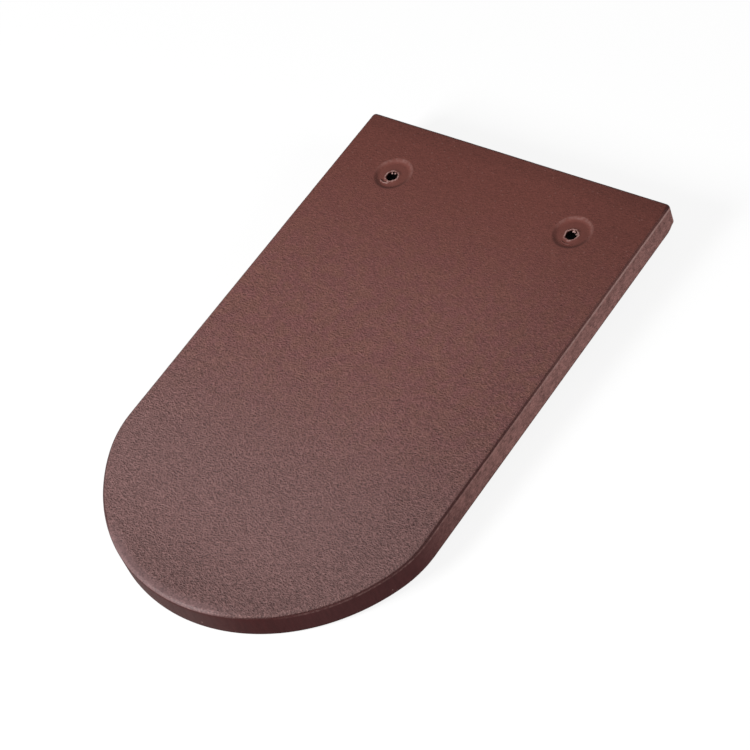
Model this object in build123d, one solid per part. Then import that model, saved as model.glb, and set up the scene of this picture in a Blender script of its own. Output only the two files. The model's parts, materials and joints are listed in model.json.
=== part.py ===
"""Clay plain roof tile with a rounded tail: pressed and fired as one body of clay.

All sizes are in millimetres. The tile is drawn on its back with the head edge at Y = 0, the tail
towards -Y, the underside at Z = 0 and the weather face at Z = THICKNESS. At the end it is laid as
it rests on a level floor, on its two nibs and the tip of its tail, with the origin at the bottom
centre of its bounding box.
"""
from build123d import *
import math
import os

# Format of the tile
LENGTH = 265.0
WIDTH = 165.0
THICKNESS = 13.0

# Plan of the outline: straight sides, then a tail of three tangent arcs
TAIL_DEPTH = 71.5
TAIL_CORNER_RADIUS = 50.0
HEAD_CORNER_RADIUS = 3.0

# Arrises, as the press leaves them
FACE_ARRIS_RADIUS = 2.0
BACK_ARRIS_RADIUS = 0.8

# Nail holes, punched from the face
NAIL_SPACING = 99.5
NAIL_FROM_HEAD = 31.5
NAIL_HOLE_RADIUS = 2.65

# Dish that the punch presses round each nail hole, a little nearer the head than the hole
DISH_RADIUS = 9.8
DISH_FLOOR_RADIUS = 6.4
DISH_DEPTH = 1.1
DISH_TOWARDS_HEAD = 1.0

# Lip of clay that the punch draws up round the hole, with a slope down to the floor of the dish
LIP_WIDTH = 1.0
LIP_HEIGHT = 0.65
LIP_ROUNDING = 0.15
LIP_SLOPE_RUN = 1.6

# Nibs: two lugs that hook over the batten
NIB_SPACING = 90.0
NIB_WIDTH = 22.0
NIB_HEIGHT = 10.0
NIB_FROM_HEAD = 12.5
NIB_ROOT_LENGTH = 10.0
NIB_TIP_LENGTH = 6.5
NIB_SIDE_DRAFT = 1.5
NIB_EDGE_RADIUS = 1.5
NIB_ROOT_RADIUS = 1.5

# How near an edge's middle has to lie to a plane to count as being on it
ON_PLANE = 0.01


def tail_radius():
    """Radius of the tail's main arc, which is tangent to both corner arcs and reaches the tip."""
    half_run = WIDTH / 2 - TAIL_CORNER_RADIUS
    return (half_run**2 + TAIL_DEPTH**2 - TAIL_CORNER_RADIUS**2) / (2 * (TAIL_DEPTH - TAIL_CORNER_RADIUS))


def outline():
    """Plan of the tile as one face, with the head corners rounded."""
    main_radius = tail_radius()
    main_centre_y = main_radius - LENGTH
    corner_centre_y = TAIL_DEPTH - LENGTH
    reach = main_radius / (main_radius - TAIL_CORNER_RADIUS)
    meet_x = reach * (WIDTH / 2 - TAIL_CORNER_RADIUS)
    meet_y = main_centre_y + reach * (corner_centre_y - main_centre_y)
    half = WIDTH / 2
    with BuildSketch() as plan:
        with BuildLine():
            Polyline((-half, corner_centre_y), (-half, 0), (half, 0), (half, corner_centre_y))
            TangentArc((half, corner_centre_y), (meet_x, meet_y), tangent=(0, -1))
            ThreePointArc((meet_x, meet_y), (0, -LENGTH), (-meet_x, meet_y))
            TangentArc((-half, corner_centre_y), (-meet_x, meet_y), tangent=(0, -1))
        make_face()
        head_corners = plan.vertices().group_by(Axis.Y)[-1]
        fillet(head_corners, HEAD_CORNER_RADIUS)
    return plan.sketch


def nib(centre_x):
    """One nib: a lug with a square bearing face, a sloping back, drafted sides and rounded edges."""
    root_centre = (centre_x, NIB_ROOT_LENGTH / 2 - NIB_FROM_HEAD)
    tip_centre = (centre_x, NIB_TIP_LENGTH / 2 - NIB_FROM_HEAD)
    with BuildPart() as lug:
        with BuildSketch(Plane.XY.offset(THICKNESS / 2)):
            with Locations(root_centre):
                Rectangle(NIB_WIDTH, NIB_ROOT_LENGTH)
        with BuildSketch(Plane.XY):
            with Locations(root_centre):
                Rectangle(NIB_WIDTH, NIB_ROOT_LENGTH)
        with BuildSketch(Plane.XY.offset(-NIB_HEIGHT)):
            with Locations(tip_centre):
                Rectangle(NIB_WIDTH - 2 * NIB_SIDE_DRAFT, NIB_TIP_LENGTH)
        loft(ruled=True)
        free_edges = lug.edges().filter_by(lambda edge: edge.center().Z < -NIB_EDGE_RADIUS)
        fillet(free_edges, NIB_EDGE_RADIUS)
    return lug.part


def root_edges(body, side):
    """Edges on the underside that run round the root of the nib on one side of the midline."""
    near = side * NIB_SPACING / 2
    return body.edges().filter_by(
        lambda edge: abs(edge.center().Z) < ON_PLANE
        and abs(edge.center().X - near) <= NIB_WIDTH / 2 + ON_PLANE
        and edge.center().Y < -BACK_ARRIS_RADIUS - ON_PLANE
        and edge.center().Y > -NIB_FROM_HEAD - ON_PLANE
    )


def dish():
    """What the punch's shoulder presses in: a flat floor and a wall that swells gently up to the face."""
    floor = THICKNESS - DISH_DEPTH
    middle = ((DISH_FLOOR_RADIUS + DISH_RADIUS) / 2, THICKNESS - DISH_DEPTH / 2)
    with BuildPart() as hollow:
        with BuildSketch(Plane.XZ):
            with BuildLine():
                Line((0, floor), (DISH_FLOOR_RADIUS, floor))
                TangentArc((DISH_FLOOR_RADIUS, floor), middle, tangent=(1, 0))
                TangentArc((DISH_RADIUS, THICKNESS), middle, tangent=(-1, 0))
                Polyline((DISH_RADIUS, THICKNESS), (DISH_RADIUS, 2 * THICKNESS), (0, 2 * THICKNESS), (0, floor))
            make_face()
        revolve(axis=Axis.Z)
    return hollow.part


def lip():
    """The mound of clay round the hole: a rounded crest, then a slope that runs out on the dish's floor."""
    floor = THICKNESS - DISH_DEPTH
    crest = floor + LIP_HEIGHT
    crest_radius = NAIL_HOLE_RADIUS + LIP_WIDTH / 2
    slope_radius = NAIL_HOLE_RADIUS + LIP_WIDTH
    foot_radius = slope_radius + LIP_SLOPE_RUN
    with BuildPart() as mound:
        with BuildSketch(Plane.XZ):
            with BuildLine():
                Line((NAIL_HOLE_RADIUS, floor), (NAIL_HOLE_RADIUS, crest - LIP_ROUNDING))
                ThreePointArc(
                    (NAIL_HOLE_RADIUS, crest - LIP_ROUNDING),
                    (crest_radius, crest),
                    (slope_radius, crest - LIP_ROUNDING),
                )
                TangentArc((foot_radius, floor), (slope_radius, crest - LIP_ROUNDING), tangent=(-1, 0))
                Line((foot_radius, floor), (NAIL_HOLE_RADIUS, floor))
            make_face()
        revolve(axis=Axis.Z)
    return mound.part


def nail_hole():
    """All that one stroke of the punch takes out of the tile: the dish, less its lip, and the hole."""
    shank = extrude(Circle(NAIL_HOLE_RADIUS), THICKNESS)
    return Pos(Y=DISH_TOWARDS_HEAD) * dish() - lip() + shank


def rest_tilt():
    """Angle in degrees at which the tile lies with its nibs and its tail's lower arris on the floor."""
    run = LENGTH - NIB_FROM_HEAD + NIB_EDGE_RADIUS - BACK_ARRIS_RADIUS
    drop = NIB_HEIGHT - NIB_EDGE_RADIUS + BACK_ARRIS_RADIUS
    lean = math.asin((NIB_EDGE_RADIUS - BACK_ARRIS_RADIUS) / math.hypot(run, drop))
    return math.degrees(lean + math.atan2(drop, run))


def roof_tile():
    """The tile on its back: body, nibs, nail holes and rounded arrises."""
    body = extrude(outline(), THICKNESS)
    body = fillet(body.faces().sort_by(Axis.Z)[-1].edges(), FACE_ARRIS_RADIUS)
    body = fillet(body.faces().sort_by(Axis.Z)[0].edges(), BACK_ARRIS_RADIUS)
    hole = nail_hole()
    for side in (-1, 1):
        body = body + nib(side * NIB_SPACING / 2)
        body = fillet(root_edges(body, side), NIB_ROOT_RADIUS)
        body = body - Pos(side * NAIL_SPACING / 2, -NAIL_FROM_HEAD, 0) * hole
    return body


def at_rest(tile):
    """The tile as it lies on a level floor, over the bottom centre of its bounding box."""
    tile = Rot(X=rest_tilt()) * tile
    box = tile.bounding_box()
    return Pos(-box.center().X, -box.center().Y, -box.min.Z) * tile


tile = at_rest(roof_tile())
tile.label = "roof_tile"
os.makedirs("parts", exist_ok=True)
export_step(tile, "parts/roof_tile.step")
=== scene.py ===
"""Finish of a clay plain roof tile: the pressed body with its nail holes, its fired clay, and the stage.

The tile is modelled flat, in its own lay: the head edge at Y = 0, the tail towards -Y, the underside
at Z = 0. It is then laid down on its nibs and tail, where the frame has it. Sizes are in metres, and
the clay's patterns are written in millimetres.
"""
import json
import math

import bmesh
import bpy
from mathutils import Matrix, Vector


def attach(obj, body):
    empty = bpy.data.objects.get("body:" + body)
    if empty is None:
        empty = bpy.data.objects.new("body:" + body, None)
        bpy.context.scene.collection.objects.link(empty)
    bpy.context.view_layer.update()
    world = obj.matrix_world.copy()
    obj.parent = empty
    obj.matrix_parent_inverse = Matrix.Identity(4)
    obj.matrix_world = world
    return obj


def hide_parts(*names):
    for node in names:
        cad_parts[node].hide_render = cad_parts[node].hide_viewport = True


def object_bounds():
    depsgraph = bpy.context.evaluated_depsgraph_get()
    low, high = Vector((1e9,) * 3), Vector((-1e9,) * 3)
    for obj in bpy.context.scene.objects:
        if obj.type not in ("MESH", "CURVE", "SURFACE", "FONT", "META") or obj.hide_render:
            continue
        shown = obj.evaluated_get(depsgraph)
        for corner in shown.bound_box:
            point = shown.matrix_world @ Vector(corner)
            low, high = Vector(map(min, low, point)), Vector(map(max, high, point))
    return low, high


bl_info = {
    "name": "Clay roof tile",
    "version": (1, 0, 0),
    "blender": (4, 5, 0),
    "location": "3D View > Sidebar > Roof tile",
    "description": "Models a clay plain tile with a rounded tail, fires its surface and sets its stage",
    "category": "Object",
}

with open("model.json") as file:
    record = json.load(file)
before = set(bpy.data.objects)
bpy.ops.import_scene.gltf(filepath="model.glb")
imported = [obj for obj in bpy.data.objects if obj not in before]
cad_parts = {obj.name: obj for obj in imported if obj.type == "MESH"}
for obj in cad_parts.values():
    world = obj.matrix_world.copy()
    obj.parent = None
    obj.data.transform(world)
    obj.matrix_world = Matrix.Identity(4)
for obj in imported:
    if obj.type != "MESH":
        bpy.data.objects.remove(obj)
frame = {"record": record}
CAD_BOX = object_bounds()

MM = 0.001
NODE = "roof_tile"
PIECE = "clay_tile"
MOUNTS = {mount["name"]: mount for mount in frame["record"]["mounts"]}
FACE_NORMAL = Vector(MOUNTS["weather_face"]["axis"])
FACE_CENTRE = Vector(MOUNTS["weather_face"]["pos_m"])
BACK_CENTRE = Vector(MOUNTS["underside"]["pos_m"])
NAIL_HOLES = MOUNTS["nail_holes"]
ACROSS = Vector((1, 0, 0))
TOWARDS_HEAD = FACE_NORMAL.cross(ACROSS)
TILT = math.atan2(TOWARDS_HEAD.z, TOWARDS_HEAD.y)

# How near a point lies to a plane or a place to count as being on it, and how far off to be clear of it
ON_PLANE = 2e-5
CLEAR = 1e-4

# How near two points of the outline, and of a punched hole, lie to be merged, and the slack of a cut
OUTLINE_DOUBLES = 5e-5
HOLE_DOUBLES = MM / 500
CUT_SLACK = 1e-6

# The height of a normal up to which its face is upright, and from which its face is level
UPRIGHT = 0.1
LEVEL = 0.999

# Area in square metres up to which a face is only a facet of a rounding
FACET = 1e-6

# How far round the worn corner its points move all the way, and how far out they move at all
WORN_CORE = 2 * MM
WORN_REACH = 5 * MM

# Share of the lip's height that its rounded crest takes
CREST_SHARE = 0.23

# Crumbs on the lip of the left and of the right nail hole: angle in degrees, then radius, height over
# the face and width in millimetres
CRUMBS = {
    -1: ((115, 1.7, -0.75, 1.3), (70, 2.0, -0.70, 1.3), (55, 3.0, -0.45, 0.9)),
    1: (
        (90, 2.0, -0.65, 1.4),
        (62, 2.1, -0.60, 1.2),
        (50, 3.1, -0.45, 1.0),
        (25, 2.4, -0.65, 1.0),
        (76, 3.4, -0.50, 0.9),
    ),
}

# How rough a crumb is, as a share of its width
CRUMB_ROUGHNESS = 0.12

# Curl of clay in the dish of each hole: centre from the hole's axis and radius in millimetres, start and
# sweep in degrees, and width in millimetres
CURLS = {-1: (-1.6, -0.5, 4.3, 222, 98, 1.1), 1: (0.3, -0.3, 5.0, 232, 75, 0.6)}

# In shares of a curl's width: its height over the dish's floor, what belongs to its ends, how far in the
# ends taper, and what the taper leaves of them
CURL_LIFT = 0.25
CURL_END = 0.6
CURL_TAPER = 1.6
CURL_TIP = 0.3

# Cloudy relief of the surface: size of its lumps in metres, and its depth in millimetres
SLOW_WAVES = (0.045, 0.35)
GRAIN = (0.0022, 0.10)
DRAG_MARKS = (0.0030, 0.25)
TORN_DOWN = (0.0011, 0.45)
TORN_ACROSS = (0.0016, 0.9)
TORN_ALONG = (0.0013, 0.9)

# Where the relief starts and where it is full: below the face, from the axis of a hole, inside the sides
# and above the underside
FACE_SKIN = (2.2 * MM, 0.2 * MM)
ROUND_HOLE = (3 * MM, 5 * MM)
SIDE_SKIN = (0.8 * MM, 0)
ABOVE_BACK = (0.5 * MM, 2 * MM)
BELOW_FACE = (0, 2.5 * MM)
CREST_RING = (5.0 * MM, 3.4 * MM)
CREST_FOOT = 2 * MM

# Weight up to which a point is left out of a relief
FAINT = 0.001

# Angle in degrees up to which two faces are shaded as one
SMOOTH_ANGLE = 50

# Noises of the clay: size of the lumps in millimetres, detail, roughness, and stretch across, along and up
EVEN = (1, 1, 1)
NOISES = {
    "ragged": (1.3, 2.0, 0.5, EVEN),
    "mottle": (3.2, 3.0, 0.6, EVEN),
    "grain": (0.66, 2.0, 0.55, (1.4, 1, 1)),
    "ridges": (1.45, 1.0, 0.5, (1.5, 1, 1)),
    "streaks": (0.8, 4.0, 0.7, (0.7, 2.2, 0.8)),
    "patches": (7.0, 3.0, 0.6, EVEN),
    "chalk": (2.8, 3.0, 0.6, EVEN),
    "runs": (1.6, 2.0, 0.5, (1, 1, 5)),
    "tooth": (0.6, 2.0, 0.5, EVEN),
}

# Scattered dots: how far apart they lie in millimetres, then where a dot starts and where it is full, as
# shares of that
DOTS = {
    "pits": (3.1, 0.18, 0.08),
    "specks": (3.4, 0.18, 0.08),
    "chips": (6.0, 0.08, 0.04),
}

# How far the specks are moved, in millimetres, so that they don't repeat the pits
SPECK_SHIFT = (37.0, 11.0, 5.0)

# Ramps of the clay's masks: where each starts to show and where it is full. One with four marks fades again
# over its second pair. Places are in millimetres, in the tile's own lay.
RAMPS = {
    # Across the tile, from its midline
    "tail left": (-56, -38, 36, 8),
    "face right": (25, 82),
    "edge left": (38, 5),
    "edge right": (40, 62),
    "far left": (-45, -56),
    "line right": (35, 60),
    "tip right": (-8, 10),
    # Along the tile, from the head edge
    "near tail": (0, -200),
    "tail hue": (-110, -215),
    "head hue": (-120, -5),
    "face tip": (-222, -262),
    "face head": (-14, -3),
    "side head": (-22, -4),
    "side tail": (-115, -185),
    "brushed half": (-100, -20),
    "straight sides": (-215, -185),
    "crease tail": (-50, -170),
    "far head": (-8, -3),
    "line sides": (-195, -180),
    "line head": (-160, -30),
    "tip": (-225, -240),
    # Along the tile, from the end of its straight sides
    "raw": (-14, 40),
    "into tail": (-5, -30),
    # Below the weather face
    "edge": (1.25, 1.55),
    "wall": (2.5, 4.0),
    "brushed": (2.7, 3.1, 7.0, 4.5),
    "above edge": (1.5, 1.2),
    "above crease": (1.45, 1.20),
    "crease top": (0.85, 1.10),
    "crease foot": (1.60, 1.40),
    "under shoulder": (1.25, 1.5, 2.6, 1.9),
    "foot": (11.8, 12.2, 12.95, 12.7),
    "worn line": (1.50, 1.75, 2.80, 2.45),
    "face": (3.0, 2.0),
    "chips": (7.0, 10.0),
    # Above the underside
    "back": (0.9, 0.5),
    "worn back": (1.9, 1.5),
    # Above the floor of a dish
    "lip": (0.12, 0.42),
    "crumb": (-0.5, -0.2),
    "into bore": (0.15, -0.2),
    # Inside the outline
    "rim": (2.3, 1.9),
    "well inside": (1.2, 2.0),
    "side": (1.5, 0.5),
    "shoulder": (6.0, 2.2),
    "soft": (6.0, 3.0),
    "outermost": (1.50, 1.00),
    "foot skin": (1.2, 0.6),
    "line skin": (0.7, 0.3),
    # From the axis of a hole or of its dish
    "round hole": (6.3, 5.9),
    "inside lip": (2.35, 2.1),
    "bore_shade": (3.1, 2.75),
    "pressed": (10.4, 9.0),
    "dish wall": (6.3, 8.0, 9.5, 8.8),
    "dish rim": (7.2, 8.7, 10.1, 9.3),
    # Past the middle of the dishes, towards the head
    "far wall": (-2, 5),
    "near wall": (3, -5),
    "far lip": (-4, 1),
    "far rim": (-5, 6),
    # Values of a pattern
    "patches": (0.38, 0.62),
    "ridge": (0.10, 0.0),
    "bristles": (0.02, 0.12),
    "flecks": (0.06, 0.16),
    # Out of the corner arcs' part of the plan, in square millimetres
    "main arc": (0.5, -0.5),
}

# Floor and lamps of the stage: widths and places in metres, the floor's grey as the tile sees it, and how
# much of its white is its own light
FLOOR_WIDTH = 12
FLOOR_GREY = (0.30, 0.30, 0.30)
WHITE = (1.0, 1.0, 1.0)
FLOOR_GLOW = 0.86
KEY_PLACE = (-0.40, -0.79, 0.60)
KEY_WIDTH = 0.4
FILL_PLACE = (1.1, 0.35, 0.45)
FILL_WIDTH = 0.5


class TileSizes(bpy.types.PropertyGroup):
    """Sizes of the tile and of what the press and the punch leave on it."""

    length: bpy.props.FloatProperty(
        name="Length",
        description="From head edge to tip",
        default=0.265,
        unit="LENGTH",
    )
    width: bpy.props.FloatProperty(
        name="Width", description="From side to side", default=CAD_BOX[1][0] - CAD_BOX[0][0], unit="LENGTH"
    )
    thickness: bpy.props.FloatProperty(
        name="Thickness",
        description="From underside to weather face",
        default=(FACE_CENTRE - BACK_CENTRE).dot(FACE_NORMAL),
        unit="LENGTH",
    )
    tail_depth: bpy.props.FloatProperty(
        name="Tail depth",
        description="From the end of the straight sides to the tip",
        default=0.0715,
        unit="LENGTH",
    )
    tail_corner: bpy.props.FloatProperty(
        name="Tail corner",
        description="Radius of the arcs beside the tail's main arc",
        default=0.050,
        unit="LENGTH",
    )
    head_corner: bpy.props.FloatProperty(
        name="Head corner", description="Radius of the head corners in plan", default=0.0022, unit="LENGTH"
    )
    face_arris: bpy.props.FloatProperty(
        name="Face arris", description="Rounding round the weather face", default=0.002, unit="LENGTH"
    )
    back_arris: bpy.props.FloatProperty(
        name="Back arris", description="Rounding round the underside", default=0.0008, unit="LENGTH"
    )
    nail_spacing: bpy.props.FloatProperty(
        name="Nail spacing",
        description="Between the two nail holes",
        default=NAIL_HOLES["dims"]["pcd_mm"] * MM,
        unit="LENGTH",
    )
    nail_from_head: bpy.props.FloatProperty(
        name="Nail from head",
        description="From the head edge to the nail holes",
        default=0.0315,
        unit="LENGTH",
    )
    nail_radius: bpy.props.FloatProperty(
        name="Nail hole",
        description="Radius of a nail hole",
        default=NAIL_HOLES["dims"]["hole_r_mm"] * MM,
        unit="LENGTH",
    )
    dish_radius: bpy.props.FloatProperty(
        name="Dish", description="Outer radius of the dish round a nail hole", default=0.0098, unit="LENGTH"
    )
    dish_floor: bpy.props.FloatProperty(
        name="Dish floor", description="Radius of the dish's flat floor", default=0.0064, unit="LENGTH"
    )
    dish_depth: bpy.props.FloatProperty(
        name="Dish depth", description="How far the floor lies below the face", default=0.0011, unit="LENGTH"
    )
    dish_shift: bpy.props.FloatProperty(
        name="Dish shift", description="How far the dish lies towards the head", default=0.0010, unit="LENGTH"
    )
    lip_width: bpy.props.FloatProperty(
        name="Lip width", description="Width of the lip's rounded crest", default=0.0010, unit="LENGTH"
    )
    lip_height: bpy.props.FloatProperty(
        name="Lip height",
        description="Height of the crest over the dish's floor",
        default=0.00065,
        unit="LENGTH",
    )
    lip_slope: bpy.props.FloatProperty(
        name="Lip slope", description="Run of the slope outside the crest", default=0.0016, unit="LENGTH"
    )
    nib_spacing: bpy.props.FloatProperty(
        name="Nib spacing", description="Between the middles of the nibs", default=0.090, unit="LENGTH"
    )
    nib_width: bpy.props.FloatProperty(
        name="Nib width",
        description="Along the batten",
        default=0.022,
        unit="LENGTH",
    )
    nib_height: bpy.props.FloatProperty(
        name="Nib height", description="Below the underside", default=0.010, unit="LENGTH"
    )
    nib_from_head: bpy.props.FloatProperty(
        name="Nib from head",
        description="From the head edge to the bearing face",
        default=0.0125,
        unit="LENGTH",
    )
    nib_root: bpy.props.FloatProperty(
        name="Nib root",
        description="Length at the root",
        default=0.010,
        unit="LENGTH",
    )
    nib_tip: bpy.props.FloatProperty(
        name="Nib tip",
        description="Length at the tip",
        default=0.0065,
        unit="LENGTH",
    )
    nib_draft: bpy.props.FloatProperty(
        name="Nib draft", description="What each end loses towards the tip", default=0.0015, unit="LENGTH"
    )
    nib_rounding: bpy.props.FloatProperty(
        name="Nib rounding",
        description="Rounding of the nibs' edges and roots",
        default=0.0015,
        unit="LENGTH",
    )
    corner_wear: bpy.props.FloatProperty(
        name="Corner wear",
        description="How far the lower right head corner is worn up",
        default=0.0014,
        unit="LENGTH",
    )
    cell: bpy.props.FloatProperty(
        name="Mesh cell", description="Spacing of the cuts across the body", default=0.002, unit="LENGTH"
    )


class ClayColours(bpy.types.PropertyGroup):
    """Colours of the fired clay, as linear light."""

    warm: bpy.props.FloatVectorProperty(
        name="Warm face",
        description="The face where it fired browner",
        default=(0.160, 0.0695, 0.0575),
        subtype="COLOR",
    )
    cool: bpy.props.FloatVectorProperty(
        name="Cool face",
        description="The face where it fired more purple",
        default=(0.157, 0.064, 0.060),
        subtype="COLOR",
    )
    # Painted shade: darker and redder than the rest of the face, where less sheen falls
    head: bpy.props.FloatVectorProperty(
        name="Head face",
        description="The redder face beside the head edge",
        default=(0.130, 0.0415, 0.033),
        subtype="COLOR",
    )
    # Painted sheen: greyer than the rest of the face, standing in for the lamps' sheen on it
    tail: bpy.props.FloatVectorProperty(
        name="Tail face",
        description="The greyer face towards the tail",
        default=(0.157, 0.084, 0.080),
        subtype="COLOR",
    )
    raw: bpy.props.FloatVectorProperty(
        name="Raw sides", description="The wire-cut sides", default=(0.250, 0.122, 0.110), subtype="COLOR"
    )
    slip: bpy.props.FloatVectorProperty(
        name="Tail edge",
        description="The smooth, dark edge round the tail, in its middle",
        default=(0.045, 0.009, 0.009),
        subtype="COLOR",
    )
    # Painted sheen: the tail edge's slip, painted greyer and lighter on its left, which faces the key lamp
    slip_left_sheen: bpy.props.FloatVectorProperty(
        name="Left of the tail edge",
        description="The same edge, greyer on the left",
        default=(0.054, 0.023, 0.0215),
        subtype="COLOR",
    )
    slip_right: bpy.props.FloatVectorProperty(
        name="Right of the tail edge",
        description="The same edge, paler on the right",
        default=(0.0665, 0.0188, 0.0190),
        subtype="COLOR",
    )
    back: bpy.props.FloatVectorProperty(
        name="Underside",
        description="The sanded underside and the nibs",
        default=(0.215, 0.092, 0.074),
        subtype="COLOR",
    )
    # Painted shade on the arrises and in the nail holes; it also colours a dark line along the far outline
    painted_shade: bpy.props.FloatVectorProperty(
        name="Crease",
        description="The dark lines along the arrises",
        default=(0.045, 0.010, 0.009),
        subtype="COLOR",
    )
    # Painted highlight: the smooth band on the tail's left shoulder, painted paler where the key lamp lights
    # it
    shoulder: bpy.props.FloatVectorProperty(
        name="Shoulder",
        description="The smooth band on the left of the tail",
        default=(0.175, 0.118, 0.124),
        subtype="COLOR",
    )
    # It also colours the painted highlights on the far dish rims and along the foot of the arris
    torn: bpy.props.FloatVectorProperty(
        name="Torn clay",
        description="Pale clay where it is torn, chipped or worn",
        default=(0.36, 0.22, 0.20),
        subtype="COLOR",
    )


def sizes():
    """The tile's sizes, as the scene holds them."""
    return bpy.context.scene.tile_sizes


def colours():
    """The clay's colours, as the scene holds them."""
    return bpy.context.scene.clay_colours


def only(piece):
    """Leaves one object selected and active."""
    bpy.ops.object.select_all(action="DESELECT")
    piece.select_set(True)
    bpy.context.view_layer.objects.active = piece


def new_piece(name):
    """Names the primitive that was just added."""
    piece = bpy.context.view_layer.objects.active
    piece.name = name
    piece.data.name = name
    return piece


def pick(piece, verts=None, edges=None, faces=None):
    """Selects, in edit mode, the parts of a mesh that pass a test, and nothing else."""
    mesh = bmesh.from_edit_mesh(piece.data)
    mode = "VERT" if verts else "EDGE" if edges else "FACE"
    bpy.ops.mesh.select_mode(type=mode)
    bpy.ops.mesh.select_all(action="DESELECT")
    mesh = bmesh.from_edit_mesh(piece.data)
    test = verts or edges or faces
    for part in {"VERT": mesh.verts, "EDGE": mesh.edges, "FACE": mesh.faces}[mode]:
        if test(part):
            part.select_set(True)
    mesh.select_flush_mode()
    bmesh.update_edit_mesh(piece.data)


def middle(part):
    """Middle of an edge or a face."""
    return sum((vert.co for vert in part.verts), Vector()) / len(part.verts)


def near(value, target):
    """Whether two places along an axis are the same."""
    return abs(value - target) < ON_PLANE


def apply_modifier(piece, kind, **settings):
    """Adds a modifier with its settings and applies it."""
    only(piece)
    modifier = piece.modifiers.new(kind.lower(), kind)
    for key, value in settings.items():
        setattr(modifier, key, value)
    bpy.ops.object.modifier_apply(modifier=modifier.name)


def main_arc(size):
    """Radius of the tail's main arc, which is tangent to both corner arcs and reaches the tip."""
    half_run = size.width / 2 - size.tail_corner
    squares = half_run**2 + size.tail_depth**2 - size.tail_corner**2
    return squares / (2 * (size.tail_depth - size.tail_corner))


def spin_end(piece, end, centre, sweep, steps):
    """Spins one end point of an open outline about a centre, clockwise seen from above."""
    pick(piece, verts=lambda vert: (vert.co - end).length < ON_PLANE)
    bpy.ops.mesh.spin(steps=steps, angle=sweep, center=centre, axis=(0, 0, 1))
    mesh = bmesh.from_edit_mesh(piece.data)
    return next(vert.co.copy() for vert in mesh.verts if vert.select)


def draw_outline(piece, size):
    """Turns a plane into the tile's plan: straight sides, rounded head corners and a tail of three arcs."""
    straight = size.length - size.tail_depth
    half = size.width / 2
    bpy.ops.mesh.select_all(action="SELECT")
    bpy.ops.transform.resize(value=(size.width, straight, 1))
    bpy.ops.transform.translate(value=(0, -straight / 2, 0))
    pick(piece, edges=lambda edge: near(middle(edge).y, -straight))
    bpy.ops.mesh.delete(type="EDGE")
    half_run = half - size.tail_corner
    main = main_arc(size)
    corner_sweep = math.atan2(main - size.tail_depth, half_run)
    corner_steps = round(size.tail_corner * corner_sweep / size.cell)
    main_steps = round(main * (math.pi - 2 * corner_sweep) / size.cell)
    end = Vector((half, -straight, 0))
    end = spin_end(piece, end, (half_run, -straight, 0), corner_sweep, corner_steps)
    end = spin_end(piece, end, (0, main - size.length, 0), math.pi - 2 * corner_sweep, main_steps)
    spin_end(piece, end, (-half_run, -straight, 0), corner_sweep, corner_steps)
    bpy.ops.mesh.select_all(action="SELECT")
    bpy.ops.mesh.remove_doubles(threshold=OUTLINE_DOUBLES)
    bpy.ops.mesh.edge_face_add()
    pick(piece, verts=lambda vert: near(vert.co.y, 0))
    bpy.ops.mesh.bevel(
        affect="VERTICES", offset=size.head_corner, segments=6, profile=0.5, clamp_overlap=False
    )


def grow_nibs(piece, size):
    """Cuts the nibs' roots into the underside, draws them down and drafts them towards their tips."""
    low = -size.nib_from_head
    high = low + size.nib_root
    half = size.nib_width / 2
    cuts = [((0, y, 0), (0, 1, 0)) for y in (low, high)]
    for side in (-1, 1):
        cuts += [((side * size.nib_spacing / 2 + end * half, 0, 0), (1, 0, 0)) for end in (-1, 1)]
    for point, normal in cuts:
        pick(piece, faces=lambda face: near(face.normal.z, -1) or near(middle(face).z, 0))
        bpy.ops.mesh.bisect(plane_co=point, plane_no=normal, threshold=CUT_SLACK)

    def is_root(face):
        at = middle(face)
        return near(at.z, 0) and low < at.y < high and abs(abs(at.x) - size.nib_spacing / 2) < half

    pick(piece, faces=is_root)
    bpy.ops.mesh.extrude_region_move(TRANSFORM_OT_translate={"value": (0, 0, -size.nib_height)})
    for side in (-1, 1):
        centre_x = side * size.nib_spacing / 2
        pick(piece, faces=lambda face: near(middle(face).z, -size.nib_height) and middle(face).x * side > 0)
        bpy.ops.transform.resize(
            value=(1 - 2 * size.nib_draft / size.nib_width, size.nib_tip / size.nib_root, 1),
            center_override=(centre_x, low, -size.nib_height),
        )

    def is_nib_edge(edge):
        at = middle(edge)
        across = abs(abs(at.x) - size.nib_spacing / 2) <= half + ON_PLANE
        along = low - ON_PLANE <= at.y <= high + ON_PLANE
        return across and along and any(face.calc_center_median().z < -CLEAR for face in edge.link_faces)

    pick(piece, edges=is_nib_edge)
    bpy.ops.mesh.bevel(offset=size.nib_rounding, segments=4, profile=0.5, clamp_overlap=True)


def round_edges(piece, size):
    """Rounds the arrises of the face and of the underside."""

    def is_side(face):
        return abs(face.normal.z) < UPRIGHT and face.calc_area() > FACET

    def borders_side(edge, height):
        flat = all(near(vert.co.z, height) for vert in edge.verts)
        return flat and any(is_side(face) for face in edge.link_faces)

    def rises(edge):
        return max(face.calc_center_median().z for face in edge.link_faces) > CLEAR

    pick(piece, edges=lambda edge: borders_side(edge, size.thickness))
    bpy.ops.mesh.bevel(offset=size.face_arris, segments=8, profile=0.5, clamp_overlap=False)
    pick(piece, edges=lambda edge: borders_side(edge, 0) and rises(edge))
    bpy.ops.mesh.bevel(offset=size.back_arris, segments=4, profile=0.5, clamp_overlap=False)


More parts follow.
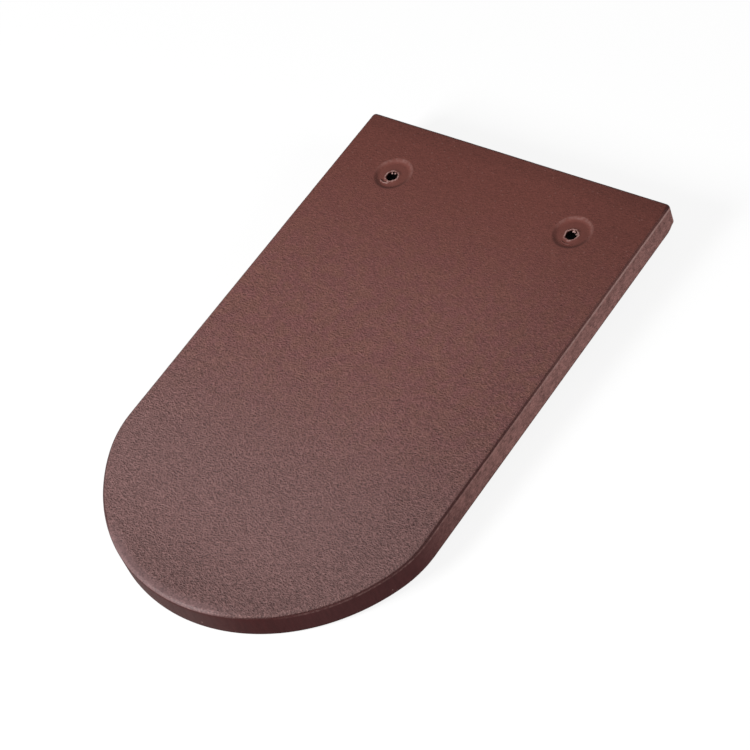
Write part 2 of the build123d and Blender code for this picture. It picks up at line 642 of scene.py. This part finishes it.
def cut_cells(piece, size):
    """Cuts the body into cells, and the flat of the face into finer ones, so that they can take relief."""
    across = math.ceil(size.width / size.cell)
    along = math.ceil(size.length / size.cell)
    up = math.ceil(size.thickness / size.cell)
    cuts = [(((i + 0.5) * size.cell - size.width / 2, 0, 0), (1, 0, 0)) for i in range(across)]
    cuts += [((0, -(i + 0.5) * size.cell, 0), (0, 1, 0)) for i in range(along)]
    cuts += [((0, 0, (i + 0.5) * size.cell), (0, 0, 1)) for i in range(1, up - 1)]
    for point, normal in cuts:
        bpy.ops.mesh.select_all(action="SELECT")
        bpy.ops.mesh.bisect(plane_co=point, plane_no=normal, threshold=CUT_SLACK)
    pick(piece, faces=lambda face: face.normal.z > LEVEL and len(face.verts) == 4)
    bpy.ops.mesh.subdivide(number_cuts=1)


def wear_corner(piece, size):
    """Draws the lower right head corner softly up, as it is worn."""
    corner = Vector((size.width / 2, 0, 0))
    pick(piece, verts=lambda vert: (vert.co - corner).length < WORN_CORE)
    bpy.ops.transform.translate(
        value=(0, 0, size.corner_wear),
        use_proportional_edit=True,
        proportional_edit_falloff="SMOOTH",
        proportional_size=WORN_REACH,
    )


def press_body(size):
    """The pressed body: plan, thickness, nibs, rounded edges and the cells for its relief."""
    bpy.ops.object.select_all(action="DESELECT")
    bpy.ops.mesh.primitive_plane_add(size=1)
    piece = new_piece(PIECE)
    bpy.ops.object.mode_set(mode="EDIT")
    draw_outline(piece, size)
    bpy.ops.mesh.select_all(action="SELECT")
    bpy.ops.mesh.extrude_region_move(TRANSFORM_OT_translate={"value": (0, 0, size.thickness)})
    bpy.ops.mesh.select_all(action="SELECT")
    bpy.ops.mesh.normals_make_consistent(inside=False)
    grow_nibs(piece, size)
    round_edges(piece, size)
    cut_cells(piece, size)
    wear_corner(piece, size)
    bpy.ops.object.mode_set(mode="OBJECT")
    return piece


def dish_rings(size):
    """Rings of the punch as (radius, height over the face, shift towards the head), from the rim inwards."""
    steps = 8
    run = (size.dish_radius - size.dish_floor) / 2
    drop = size.dish_depth / 2
    bend = (run**2 + drop**2) / (2 * drop)
    rings = [(size.dish_radius, size.dish_depth, size.dish_shift)]
    for i in range(steps + 1):
        out = run * i / steps
        rings.append((size.dish_radius - out, math.sqrt(bend**2 - out**2) - bend, size.dish_shift))
    for i in range(steps - 1, -1, -1):
        out = run * i / steps
        height = bend - math.sqrt(bend**2 - out**2) - size.dish_depth
        rings.append((size.dish_floor + out, height, size.dish_shift))
    slope_start = size.nail_radius + size.lip_width
    rounding = size.lip_height * CREST_SHARE
    foot = slope_start + size.lip_slope
    rise = size.lip_height - rounding
    for i in range(steps + 1):
        share = i / steps
        rings.append((foot - size.lip_slope * share, rise * share**2 - size.dish_depth, 0))
    for i in range(1, steps):
        angle = math.pi * i / steps
        height = rise + rounding * math.sin(angle) - size.dish_depth
        rings.append((size.nail_radius + size.lip_width * (1 + math.cos(angle)) / 2, height, 0))
    rings.append((size.nail_radius, rise - size.dish_depth, 0))
    return rings


def make_punch(size, side):
    """A solid punch for one nail hole, drawn ring by ring from above the face to below the underside."""
    points = 80
    steps = 8
    shaft = [(size.nail_radius, -step * size.thickness / steps, 0) for step in range(1, steps)]
    rings = dish_rings(size) + shaft + [(size.nail_radius, -2 * size.thickness, 0)]
    x = side * size.nail_spacing / 2
    y = -size.nail_from_head
    z = size.thickness
    radius, height, shift = rings[0]
    bpy.ops.object.select_all(action="DESELECT")
    bpy.ops.mesh.primitive_circle_add(
        vertices=points, radius=radius, fill_type="NGON", location=(x, y + shift, z + height)
    )
    punch = new_piece("punch")
    bpy.ops.object.transform_apply(location=True)
    bpy.ops.object.mode_set(mode="EDIT")
    bpy.ops.mesh.select_all(action="SELECT")
    for next_radius, next_height, next_shift in rings[1:]:
        move = (0, next_shift - shift, next_height - height)
        bpy.ops.mesh.extrude_region_move(TRANSFORM_OT_translate={"value": move})
        share = next_radius / radius
        centre = (x, y + next_shift, z + next_height)
        bpy.ops.transform.resize(value=(share, share, 1), center_override=centre)
        radius, height, shift = next_radius, next_height, next_shift
    bpy.ops.mesh.select_all(action="SELECT")
    bpy.ops.mesh.normals_make_consistent(inside=False)
    bpy.ops.object.mode_set(mode="OBJECT")
    for left in crumbs(size, side) + [curl(size, side)]:
        apply_modifier(punch, "BOOLEAN", operation="DIFFERENCE", solver="EXACT", object=left)
        bpy.data.objects.remove(left)
    return punch


def round_hole(size, side, angle, radius, height):
    """A place round a nail hole: an angle in degrees, a radius and a height over the face in millimetres."""
    turn = math.radians(angle)
    x = side * size.nail_spacing / 2 + radius * MM * math.cos(turn)
    y = -size.nail_from_head + radius * MM * math.sin(turn)
    return Vector((x, y, size.thickness + height * MM))


def crumbs(size, side):
    """Crumbs of torn clay that cling to the lip inside a nail hole."""
    made = []
    for seed, (angle, radius, height, width) in enumerate(CRUMBS[side]):
        bpy.ops.object.select_all(action="DESELECT")
        place = round_hole(size, side, angle, radius, height)
        bpy.ops.mesh.primitive_ico_sphere_add(subdivisions=2, radius=width * MM / 2, location=place)
        crumb = new_piece("crumb")
        bpy.ops.object.transform_apply(location=True)
        bpy.ops.object.mode_set(mode="EDIT")
        bpy.ops.mesh.select_all(action="SELECT")
        bpy.ops.transform.vertex_random(offset=width * MM * CRUMB_ROUGHNESS, seed=seed)
        bpy.ops.object.mode_set(mode="OBJECT")
        made.append(crumb)
    return made


def curl(size, side):
    """A curl of clay that the punch left lying in the dish, swept round a centre near the hole."""
    centre_x, centre_y, sweep_radius, start, sweep, width = CURLS[side]
    height = -size.dish_depth / MM + width * CURL_LIFT
    centre = round_hole(size, side, 0, 0, height) + Vector((centre_x, centre_y, 0)) * MM

    def on_sweep(angle):
        turn = math.radians(angle)
        return centre + Vector((math.cos(turn), math.sin(turn), 0)) * sweep_radius * MM

    bpy.ops.object.select_all(action="DESELECT")
    bpy.ops.mesh.primitive_circle_add(
        vertices=10,
        radius=width * MM / 2,
        location=on_sweep(start),
        rotation=(math.pi / 2, 0, math.radians(start)),
    )
    strand = new_piece("curl")
    bpy.ops.object.transform_apply(location=True, rotation=True)
    bpy.ops.object.mode_set(mode="EDIT")
    bpy.ops.mesh.select_all(action="SELECT")
    bpy.ops.mesh.edge_face_add()
    bpy.ops.mesh.spin(steps=24, angle=-math.radians(sweep), center=centre, axis=(0, 0, 1))
    for end in (on_sweep(start), on_sweep(start + sweep)):
        pick(strand, verts=lambda vert: (vert.co - end).length < width * MM * CURL_END)
        bpy.ops.transform.resize(
            value=(CURL_TIP, CURL_TIP, CURL_TIP),
            center_override=end,
            use_proportional_edit=True,
            proportional_edit_falloff="SMOOTH",
            proportional_size=width * MM * CURL_TAPER,
        )
    bpy.ops.mesh.select_all(action="SELECT")
    bpy.ops.mesh.normals_make_consistent(inside=False)
    bpy.ops.object.mode_set(mode="OBJECT")
    return strand


def hole_distance(co, size):
    """How far a point lies from the axis of the nearer nail hole."""
    return math.hypot(abs(co.x) - size.nail_spacing / 2, co.y + size.nail_from_head)


def fade(value, band):
    """0 at the start of a band and 1 at its end, with a smooth ramp between. The band may run downwards."""
    start, full = band
    share = min(max((value - start) / (full - start), 0), 1)
    return share * share * (3 - 2 * share)


def weigh(piece, name, weight):
    """Makes a vertex group from a rule that gives each point its weight."""
    group = piece.vertex_groups.new(name=name)
    for vert in piece.data.vertices:
        value = weight(vert.co)
        if value > FAINT:
            group.add([vert.index], value, "REPLACE")
    return name


def sink(piece, group, relief, direction="NORMAL", middle_level=1.0):
    """Moves a group of points by a cloudy relief: into the clay, never out of it, unless told otherwise."""
    lumps, depth = relief
    texture = bpy.data.textures.new(group, "CLOUDS")
    texture.noise_scale = lumps
    apply_modifier(
        piece,
        "DISPLACE",
        texture=texture,
        texture_coords="LOCAL",
        vertex_group=group,
        direction=direction,
        mid_level=middle_level,
        strength=depth * MM,
    )


def work_surface(piece, size):
    """Gives the face its waves and grain, the raw sides their drag marks and the lips their torn crests."""

    def face(co):
        return fade(size.thickness - co.z, FACE_SKIN) * fade(hole_distance(co, size), ROUND_HOLE)

    def side(co):
        inside = min(size.width / 2 - abs(co.x), -co.y)
        return fade(inside, SIDE_SKIN) * fade(co.z, ABOVE_BACK) * fade(size.thickness - co.z, BELOW_FACE)

    def crest(co):
        height = fade(size.thickness - co.z, (CREST_FOOT, size.dish_depth))
        return height * fade(hole_distance(co, size), CREST_RING)

    sink(piece, weigh(piece, "slow_waves", face), SLOW_WAVES)
    sink(piece, weigh(piece, "grain", face), GRAIN)
    sink(piece, weigh(piece, "drag_marks", side), DRAG_MARKS)
    torn = weigh(piece, "torn_crest", crest)
    sink(piece, torn, TORN_DOWN)
    sink(piece, torn, TORN_ACROSS, "X", 0.5)
    sink(piece, torn, TORN_ALONG, "Y", 0.5)


class Wire:
    """A socket in a material that Python's operators add Math nodes to."""

    def __init__(self, clay, socket):
        self.clay = clay
        self.socket = socket

    def __add__(self, other):
        return self.clay.maths("ADD", self, other)

    def __radd__(self, other):
        return self.clay.maths("ADD", other, self)

    def __sub__(self, other):
        return self.clay.maths("SUBTRACT", self, other)

    def __rsub__(self, other):
        return self.clay.maths("SUBTRACT", other, self)

    def __mul__(self, other):
        return self.clay.maths("MULTIPLY", self, other)

    def __rmul__(self, other):
        return self.clay.maths("MULTIPLY", other, self)

    def __pow__(self, other):
        return self.clay.maths("POWER", self, other)

    def __abs__(self):
        return self.clay.maths("ABSOLUTE", self)

    def over(self, low, high):
        """0 below low, 1 above high, with a smooth ramp between. It falls where low is above high."""
        settings = {"interpolation_type": "SMOOTHSTEP", "clamp": True}
        rises = low < high
        marks = {"From Min": low, "From Max": high} if rises else {"From Min": high, "From Max": low}
        share = self.clay.node("ShaderNodeMapRange", settings, {"Value": self, **marks})
        return share if rises else 1 - share

    def ramp(self, name):
        """One of the ramps, as a mask from 0 to 1."""
        marks = RAMPS[name]
        share = self.over(*marks[:2])
        return share * self.over(*marks[2:]) if marks[2:] else share


class Clay:
    """A node material, with one method that adds any node."""

    def __init__(self, name):
        self.material = bpy.data.materials.new(name)
        self.material.use_nodes = True
        self.tree = self.material.node_tree
        self.tree.nodes.clear()

    def node(self, kind, settings=None, inputs=None, output=0):
        """Adds a node, sets its settings, then sets or links its sockets. Gives one output, if it has any."""
        node = self.tree.nodes.new(kind)
        for key, value in (settings or {}).items():
            setattr(node, key, value)
        for key, value in (inputs or {}).items():
            if isinstance(value, Wire):
                self.tree.links.new(value.socket, node.inputs[key])
            else:
                node.inputs[key].default_value = value
        return Wire(self, node.outputs[output]) if len(node.outputs) else None

    def maths(self, operation, *values):
        return self.node("ShaderNodeMath", {"operation": operation}, dict(enumerate(values)))

    def blend(self, share, first, second, kind="MIX"):
        """Mixes two colours by a share."""
        first = (*first, 1) if not isinstance(first, Wire) else first
        second = (*second, 1) if not isinstance(second, Wire) else second
        settings = {"data_type": "RGBA", "blend_type": kind}
        return self.node("ShaderNodeMix", settings, {0: share, 6: first, 7: second}, 2)

    def shade(self, colour, value):
        """Multiplies a colour by one number."""
        grey = self.node("ShaderNodeCombineColor", {}, {"Red": value, "Green": value, "Blue": value})
        return self.blend(1.0, colour, grey, "MULTIPLY")

    def most(self, *masks):
        """The greatest of several masks."""
        greatest = masks[0]
        for mask in masks[1:]:
            greatest = self.maths("MAXIMUM", greatest, mask)
        return greatest

    def noise(self, at, name):
        """One of the noises, from 0 to 1."""
        lumps, detail, roughness, stretch = NOISES[name]
        scale = tuple(1 / (lumps * part) for part in stretch)
        mapped = self.node("ShaderNodeMapping", {}, {"Vector": at, "Scale": scale})
        inputs = {"Vector": mapped, "Scale": 1.0, "Detail": detail, "Roughness": roughness}
        return self.node("ShaderNodeTexNoise", {}, inputs)

    def swing(self, at, name):
        """One of the noises, from -0.5 to 0.5."""
        return self.noise(at, name) - 0.5

    def dots(self, at, name):
        """Scattered dots: 1 in each dot and 0 between them."""
        apart, start, full = DOTS[name]
        return self.node("ShaderNodeTexVoronoi", {}, {"Vector": at, "Scale": 1 / apart}).over(start, full)


class Places:
    """Where things lie on the tile: places in millimetres in its own lay, and masks from 0 to 1."""

    def __init__(self, clay, size):
        origin = lay_matrix(size).to_translation()
        turn = {"Location": origin, "Rotation": (TILT, 0, 0), "Scale": (MM, MM, MM)}
        lay = clay.node("ShaderNodeTexCoord", output="Object")
        self.at = clay.node("ShaderNodeMapping", {"vector_type": "TEXTURE"}, {"Vector": lay, **turn})
        parts = (clay.node("ShaderNodeSeparateXYZ", {}, {0: self.at}, axis) for axis in "XYZ")
        self.x, self.y, self.z = parts
        self.depth = size.thickness / MM - self.z
        self.above_floor = size.dish_depth / MM - self.depth
        self.past_straight = self.y + (size.length - size.tail_depth) / MM
        self.past_dish = self.y + (size.nail_from_head - size.dish_shift) / MM
        from_hole = abs(self.x) - size.nail_spacing / MM / 2
        self.hole = self.length(from_hole, self.y + size.nail_from_head / MM)
        self.dish = self.length(from_hole, self.past_dish)
        self.border = clay.maths("MINIMUM", self.from_border(clay, size), self.y * -1)
        from_side = clay.maths("MINIMUM", size.width / MM / 2 - abs(self.x), self.y * -1)
        self.ragged = clay.swing(self.at, "ragged")
        self.pressed = self.dish.ramp("pressed")
        self.rim = self.border.ramp("rim")
        self.back = clay.most(self.z.ramp("back"), self.z.ramp("worn back") * self.border.ramp("well inside"))
        edge = (self.depth + self.ragged * 0.6).ramp("edge")
        self.edge = edge * clay.most(self.rim, self.depth.ramp("wall"))
        self.raw = self.edge * from_side.ramp("side") * self.past_straight.ramp("raw")
        self.tail_left = self.x.ramp("tail left") * self.past_straight.ramp("into tail")
        self.near_tail = self.y.ramp("near tail") * 0.66 + 0.34
        self.mottle = clay.swing(self.at, "mottle")
        self.grain = clay.swing(self.at, "grain")
        self.ridge = abs(clay.swing(self.at, "ridges")).ramp("ridge")
        self.streak = clay.swing(self.at, "streaks")
        self.pits = clay.dots(self.at, "pits")
        moved = clay.node("ShaderNodeMapping", {}, {"Vector": self.at, "Location": SPECK_SHIFT})
        self.specks = clay.dots(moved, "specks")

    def length(self, first, second):
        return (first * first + second * second) ** 0.5

    def from_border(self, clay, size):
        """How far inside the sides and the tail a point lies, seen from above."""
        corner = size.tail_corner / MM
        half_run = size.width / MM / 2 - corner
        main = main_arc(size) / MM
        corner_y = (size.tail_depth - size.length) / MM
        main_y = main - size.length / MM
        beside = clay.maths("MAXIMUM", abs(self.x) - half_run, 0.0)
        below = clay.maths("MINIMUM", self.y - corner_y, 0.0)
        corner_gap = corner - self.length(beside, below)
        main_gap = main - self.length(self.x, self.y - main_y)
        in_main = ((self.y - main_y) * half_run + abs(self.x) * (main_y - corner_y)).ramp("main arc")
        return corner_gap + (main_gap - corner_gap) * in_main


def face_colour(clay, on, tint):
    """Weather face in warm and cool patches, with grain and pits. Painted sheen makes it greyer towards the
    tail, painted shade darker and redder at the head and darker to the right, and the dish walls take painted
    light and shade.
    """
    hue = clay.blend(clay.noise(on.at, "patches").ramp("patches"), tint.warm, tint.cool)
    # Painted sheen: the face is painted greyer towards the tail.
    hue = clay.blend(on.y.ramp("tail hue"), hue, tint.tail)
    # Painted shade: the face is painted darker and redder beside the head edge, where less sheen falls.
    hue = clay.blend(on.y.ramp("head hue"), hue, tint.head)
    # Painted shade: the face is painted darker to the right, where the key lamp's light falls off, and also
    # darker towards the tip and along the head edge.
    painted_falloff = on.x.ramp("face right") * 0.12 + on.y.ramp("face tip") * 0.20 + on.y.ramp("face head") * 0.13
    # The grain's tone follows its relief: raised grain and ridges are painted lighter, partly as a painted
    # highlight on them.
    leather = (on.grain * 1.6 + on.ridge * 0.28 - 0.085) * on.near_tail * (1 - on.pressed * 0.6)
    # Painted light and shade on the dish walls: the far wall, which faces the key lamp, is painted lighter,
    # and the near wall, turned from it, darker.
    wall = on.past_dish.ramp("far wall") * 0.08 - on.past_dish.ramp("near wall") * 0.24
    pits = on.pits * (1 - on.pressed * 0.7) * on.near_tail * 0.32
    return clay.shade(hue, on.mottle * 0.25 + leather + on.dish.ramp("dish wall") * wall - pits - painted_falloff + 1)


def edge_colour(clay, on, tint):
    """The chalky wire-cut sides, the smooth tail edge in its three tones, with painted sheen on its left, and
    the sanded underside.
    """
    chalk = clay.swing(on.at, "chalk")
    brushed = on.streak.ramp("bristles") * on.depth.ramp("brushed") * on.y.ramp("brushed half")
    ends = on.y.ramp("side head") * 0.12 + on.y.ramp("side tail") * 0.16 + brushed * 0.7
    raw = clay.shade(tint.raw, on.streak * 2.3 + chalk * 1.5 - ends + 1.04)
    # Painted sheen: the tail edge is painted greyer and lighter on its left.
    smooth = clay.blend(on.x.ramp("edge left"), tint.slip, tint.slip_left_sheen)
    smooth = clay.blend(on.x.ramp("edge right"), smooth, tint.slip_right)
    slip = clay.shade(smooth, clay.swing(on.at, "runs") * 0.6 + 1)
    sanded = clay.shade(tint.back, chalk * 0.8 + on.mottle * 0.6 + on.grain * 0.9 + 1)
    return clay.blend(on.back, clay.blend(on.raw, slip, raw), sanded)


def dark_lines(clay, on):
    """Painted shade on the arris, under the left shoulder and on the back arris's foot, and a dark line along
    the far outline.
    """
    # Painted shade: a dark band on the face's arris, where its rounding turns from the light.
    painted_shade = (on.depth + on.y.ramp("straight sides") * 0.35).ramp("crease top") * on.depth.ramp("crease foot")
    painted_shade = painted_shade * (1 - on.tail_left) * (on.y.ramp("crease tail") * 0.45 + 0.40)
    under = on.tail_left * on.depth.ramp("under shoulder") * 0.5
    far = clay.most(on.x.ramp("far left"), on.y.ramp("far head"))
    far = far * on.border.ramp("outermost") * on.depth.ramp("crease foot") * 0.90
    # Painted shade on the back arris's foot, which the white floor would light from below.
    foot = on.depth.ramp("foot") * on.border.ramp("foot skin") * 0.6
    return clay.most(painted_shade, under, far, foot) * on.rim


def pale_marks(clay, on):
    """Torn lips and curls; the pale line under the right arris, partly wear and partly painted highlight;
    pale dish rims, partly wear and mostly a painted highlight on the far rim; flecks, chips and specks.
    """
    lip = on.hole.ramp("round hole") * on.above_floor.ramp("lip") * (on.ragged * 2.5 + 0.6)
    lip = lip * (on.past_dish.ramp("far lip") * 0.28 + 0.72)
    # Partly wear and partly painted highlight: a pale line along the foot of the arris, on the straight sides
    # and the right, strongest towards the head.
    line = clay.most(on.x.ramp("line right"), on.y.ramp("line sides")) * on.border.ramp("line skin")
    line = line * on.depth.ramp("worn line") * (on.ragged * 3 + 1.0)
    worn = line * ((on.y + on.ragged * 60).ramp("line head") * 0.8 + 0.25)
    # Wear and painted highlight: a pale rim round each dish, painted much paler on the far rim, where the key
    # lamp lights it.
    rim_wear_and_highlight = on.dish.ramp("dish rim") * on.depth.ramp("face") * (on.ragged * 2.4 + 1.0)
    rim_wear_and_highlight = rim_wear_and_highlight * (on.past_dish.ramp("far rim") * 0.19 + 0.04)
    flecks = on.grain.ramp("flecks") * on.rim * on.depth.ramp("above crease")
    flecks = flecks * on.y.ramp("tip") * on.x.ramp("tip right") * 0.35
    chips = clay.dots(on.at, "chips") * on.edge * (1 - on.raw) * on.depth.ramp("chips") * 0.6
    specks = on.specks * (1 - on.edge) * (1 - on.pressed) * 0.22
    return clay.most(lip, worn, rim_wear_and_highlight, flecks, chips, specks)


def clay_colour(clay, on, tint):
    """All of the clay's colours, with its dark lines, pale marks and crumbs, and the nail holes painted black
    as shade.
    """
    colour = clay.blend(on.edge, face_colour(clay, on, tint), edge_colour(clay, on, tint))
    # Painted highlight: the smooth shoulder on the tail's left, painted paler where the key lamp catches it.
    shoulder = on.tail_left * on.border.ramp("shoulder") * on.depth.ramp("above edge")
    colour = clay.blend(shoulder * 0.3, colour, tint.shoulder)
    colour = clay.blend(dark_lines(clay, on), colour, tint.painted_shade)
    crumb = on.hole.ramp("inside lip") * on.above_floor.ramp("crumb")
    # Painted shade: the nail holes are painted black below the lip, where the bore lies in shade.
    bore_shade = on.hole.ramp("bore_shade") * on.above_floor.ramp("into bore") * (1 - crumb)
    colour = clay.blend(bore_shade * 0.97, colour, tint.painted_shade)
    colour = clay.shade(colour, 1 - bore_shade * 0.9)
    pale = clay.most(pale_marks(clay, on), crumb).over(0.0, 1.0)
    return clay.blend(pale, colour, tint.torn)


def clay_relief(clay, on):
    """Height of the clay's fine relief in millimetres: leather grain, specks, pits and drag marks."""
    soft = on.tail_left * on.border.ramp("soft")
    leather = (on.ridge * 0.16 + on.grain * 0.80 + on.mottle * 0.10) * on.near_tail
    leather = leather * (1 - soft) * (1 - on.pressed * 0.8)
    cut = on.streak * on.raw * 0.60 + clay.noise(on.at, "tooth") * on.edge * 0.04
    return (leather + on.specks * 0.07 - on.pits * 0.09) * (1 - on.edge) + cut


def clay_material(size, tint):
    """Fired clay: leather-grained face, raw sides, smooth dark tail edge and pale torn lips."""
    clay = Clay("fired_clay")
    on = Places(clay, size)
    colour = clay_colour(clay, on, tint)
    gloss = on.mottle * 0.10 + on.raw * 0.05 + on.edge * 0.30 - on.pressed * 0.10 + 0.50
    height = clay_relief(clay, on)
    relief = clay.node("ShaderNodeBump", {}, {"Strength": 1.0, "Distance": MM, "Height": height})
    inputs = {"Base Color": colour, "Roughness": gloss, "Normal": relief, "Specular IOR Level": 0.15}
    body = clay.node("ShaderNodeBsdfPrincipled", {}, inputs)
    clay.node("ShaderNodeOutputMaterial", {}, {"Surface": body})
    return clay.material


def lay_matrix(size):
    """Where the frame lays the tile: from its own lay to its place on nibs and tail."""
    origin = BACK_CENTRE + TOWARDS_HEAD * size.length / 2
    turn = Matrix((ACROSS, TOWARDS_HEAD, FACE_NORMAL)).transposed().to_4x4()
    return Matrix.Translation(origin) @ turn


class TILE_OT_press_body(bpy.types.Operator):
    """Models the pressed body with its nibs"""

    bl_idname = "tile.press_body"
    bl_label = "Press the body"

    def execute(self, context):
        press_body(sizes())
        return {"FINISHED"}


class TILE_OT_punch_nail_holes(bpy.types.Operator):
    """Punches the two dished nail holes through the body"""

    bl_idname = "tile.punch_nail_holes"
    bl_label = "Punch the nail holes"

    def execute(self, context):
        piece = bpy.data.objects[PIECE]
        for side in (-1, 1):
            punch = make_punch(sizes(), side)
            apply_modifier(piece, "BOOLEAN", operation="DIFFERENCE", solver="EXACT", object=punch)
            bpy.data.objects.remove(punch)
        only(piece)
        bpy.ops.object.mode_set(mode="EDIT")
        bpy.ops.mesh.select_all(action="SELECT")
        bpy.ops.mesh.remove_doubles(threshold=HOLE_DOUBLES)
        bpy.ops.mesh.dissolve_degenerate(threshold=HOLE_DOUBLES)
        bpy.ops.object.mode_set(mode="OBJECT")
        return {"FINISHED"}


class TILE_OT_fire_clay(bpy.types.Operator):
    """Works the surface, gives it its fired clay and lays the tile down"""

    bl_idname = "tile.fire_clay"
    bl_label = "Fire the clay"

    def execute(self, context):
        size = sizes()
        piece = bpy.data.objects[PIECE]
        work_surface(piece, size)
        only(piece)
        bpy.ops.object.shade_smooth_by_angle(angle=math.radians(SMOOTH_ANGLE))
        piece.matrix_world = lay_matrix(size)
        bpy.ops.object.transform_apply(location=True, rotation=True, scale=True)
        piece.data.materials.clear()
        piece.data.materials.append(clay_material(size, colours()))
        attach(piece, "root")
        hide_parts(NODE)
        return {"FINISHED"}


class StageSettings(bpy.types.PropertyGroup):
    """Camera and lamps."""

    camera_place: bpy.props.FloatVectorProperty(
        name="Camera",
        description="Where the camera stands",
        default=(0.5756, -0.4502, 0.7745),
        subtype="TRANSLATION",
    )
    camera_turn: bpy.props.FloatVectorProperty(
        name="Camera turn",
        description="How the camera is turned",
        default=tuple(math.radians(angle) for angle in (41.665, 14.371, 35.806)),
        subtype="EULER",
    )
    lens: bpy.props.FloatProperty(name="Lens", description="Focal length in millimetres", default=116.76)
    ambient: bpy.props.FloatProperty(name="Ambient", description="Strength of the room's light", default=0.27)
    key: bpy.props.FloatProperty(
        name="Key",
        description="Power of the softbox by the tail's left, in watts",
        default=15.6,
    )
    fill: bpy.props.FloatProperty(
        name="Fill",
        description="Power of the lamp on the right side, in watts",
        default=7.5,
    )


def add_softbox(name, place, width, power):
    """A square soft lamp that looks at the tile."""
    bpy.ops.object.light_add(type="AREA", location=place)
    lamp = bpy.context.view_layer.objects.active
    lamp.name = name
    lamp.data.size = width
    lamp.data.energy = power
    lamp.rotation_euler = Vector(place).to_track_quat("Z", "Y").to_euler()
    return lamp


class TILE_OT_set_stage(bpy.types.Operator):
    """Sets the pale floor, the room, the lamps and the camera"""

    bl_idname = "tile.set_stage"
    bl_label = "Set the stage"

    def execute(self, context):
        stage = context.scene.tile_stage
        bpy.ops.object.select_all(action="DESELECT")
        bpy.ops.mesh.primitive_plane_add(size=FLOOR_WIDTH)
        floor = new_piece("floor")
        paper = Clay("paper")
        rays = paper.node("ShaderNodeLightPath")
        seen = (
            rays
            + paper.node("ShaderNodeLightPath", output="Is Glossy Ray")
            + paper.node("ShaderNodeLightPath", output="Is Transmission Ray")
        ).over(0.0, 1.0)
        white = paper.blend(seen, FLOOR_GREY, WHITE)
        matt = paper.node("ShaderNodeBsdfDiffuse", {}, {"Color": white})
        bright = paper.node("ShaderNodeEmission", {}, {"Color": (*WHITE, 1), "Strength": 1.0})
        ground = paper.node("ShaderNodeMixShader", {}, {0: seen * FLOOR_GLOW, 1: matt, 2: bright})
        paper.node("ShaderNodeOutputMaterial", {}, {"Surface": ground})
        floor.data.materials.append(paper.material)

        world = bpy.data.worlds.new("room")
        context.scene.world = world
        world.use_nodes = True
        background = world.node_tree.nodes["Background"]
        background.inputs["Color"].default_value = (*WHITE, 1)
        background.inputs["Strength"].default_value = stage.ambient

        add_softbox("key", KEY_PLACE, KEY_WIDTH, stage.key)
        add_softbox("fill", FILL_PLACE, FILL_WIDTH, stage.fill)

        bpy.ops.object.camera_add(location=stage.camera_place, rotation=stage.camera_turn)
        camera = bpy.context.view_layer.objects.active
        camera.data.lens = stage.lens
        context.scene.camera = camera
        context.scene.view_settings.view_transform = "Standard"
        return {"FINISHED"}


class TILE_PT_sidebar(bpy.types.Panel):
    """Lists the steps that make the tile"""

    bl_idname = "TILE_PT_sidebar"
    bl_label = "Roof tile"
    bl_space_type = "VIEW_3D"
    bl_region_type = "UI"
    bl_category = "Roof tile"

    def draw(self, context):
        for step in STEPS:
            self.layout.operator(step.bl_idname)


STEPS = (TILE_OT_press_body, TILE_OT_punch_nail_holes, TILE_OT_fire_clay, TILE_OT_set_stage)
CLASSES = (TileSizes, ClayColours, StageSettings, *STEPS, TILE_PT_sidebar)


def register():
    for cls in CLASSES:
        bpy.utils.register_class(cls)
    bpy.types.Scene.tile_sizes = bpy.props.PointerProperty(type=TileSizes)
    bpy.types.Scene.clay_colours = bpy.props.PointerProperty(type=ClayColours)
    bpy.types.Scene.tile_stage = bpy.props.PointerProperty(type=StageSettings)


def unregister():
    del bpy.types.Scene.tile_sizes
    del bpy.types.Scene.clay_colours
    del bpy.types.Scene.tile_stage
    for cls in reversed(CLASSES):
        bpy.utils.unregister_class(cls)


def main():
    register()
    bpy.ops.tile.press_body()
    bpy.ops.tile.punch_nail_holes()
    bpy.ops.tile.fire_clay()
    bpy.ops.tile.set_stage()
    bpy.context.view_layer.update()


if __name__ == "__main__":
    main()
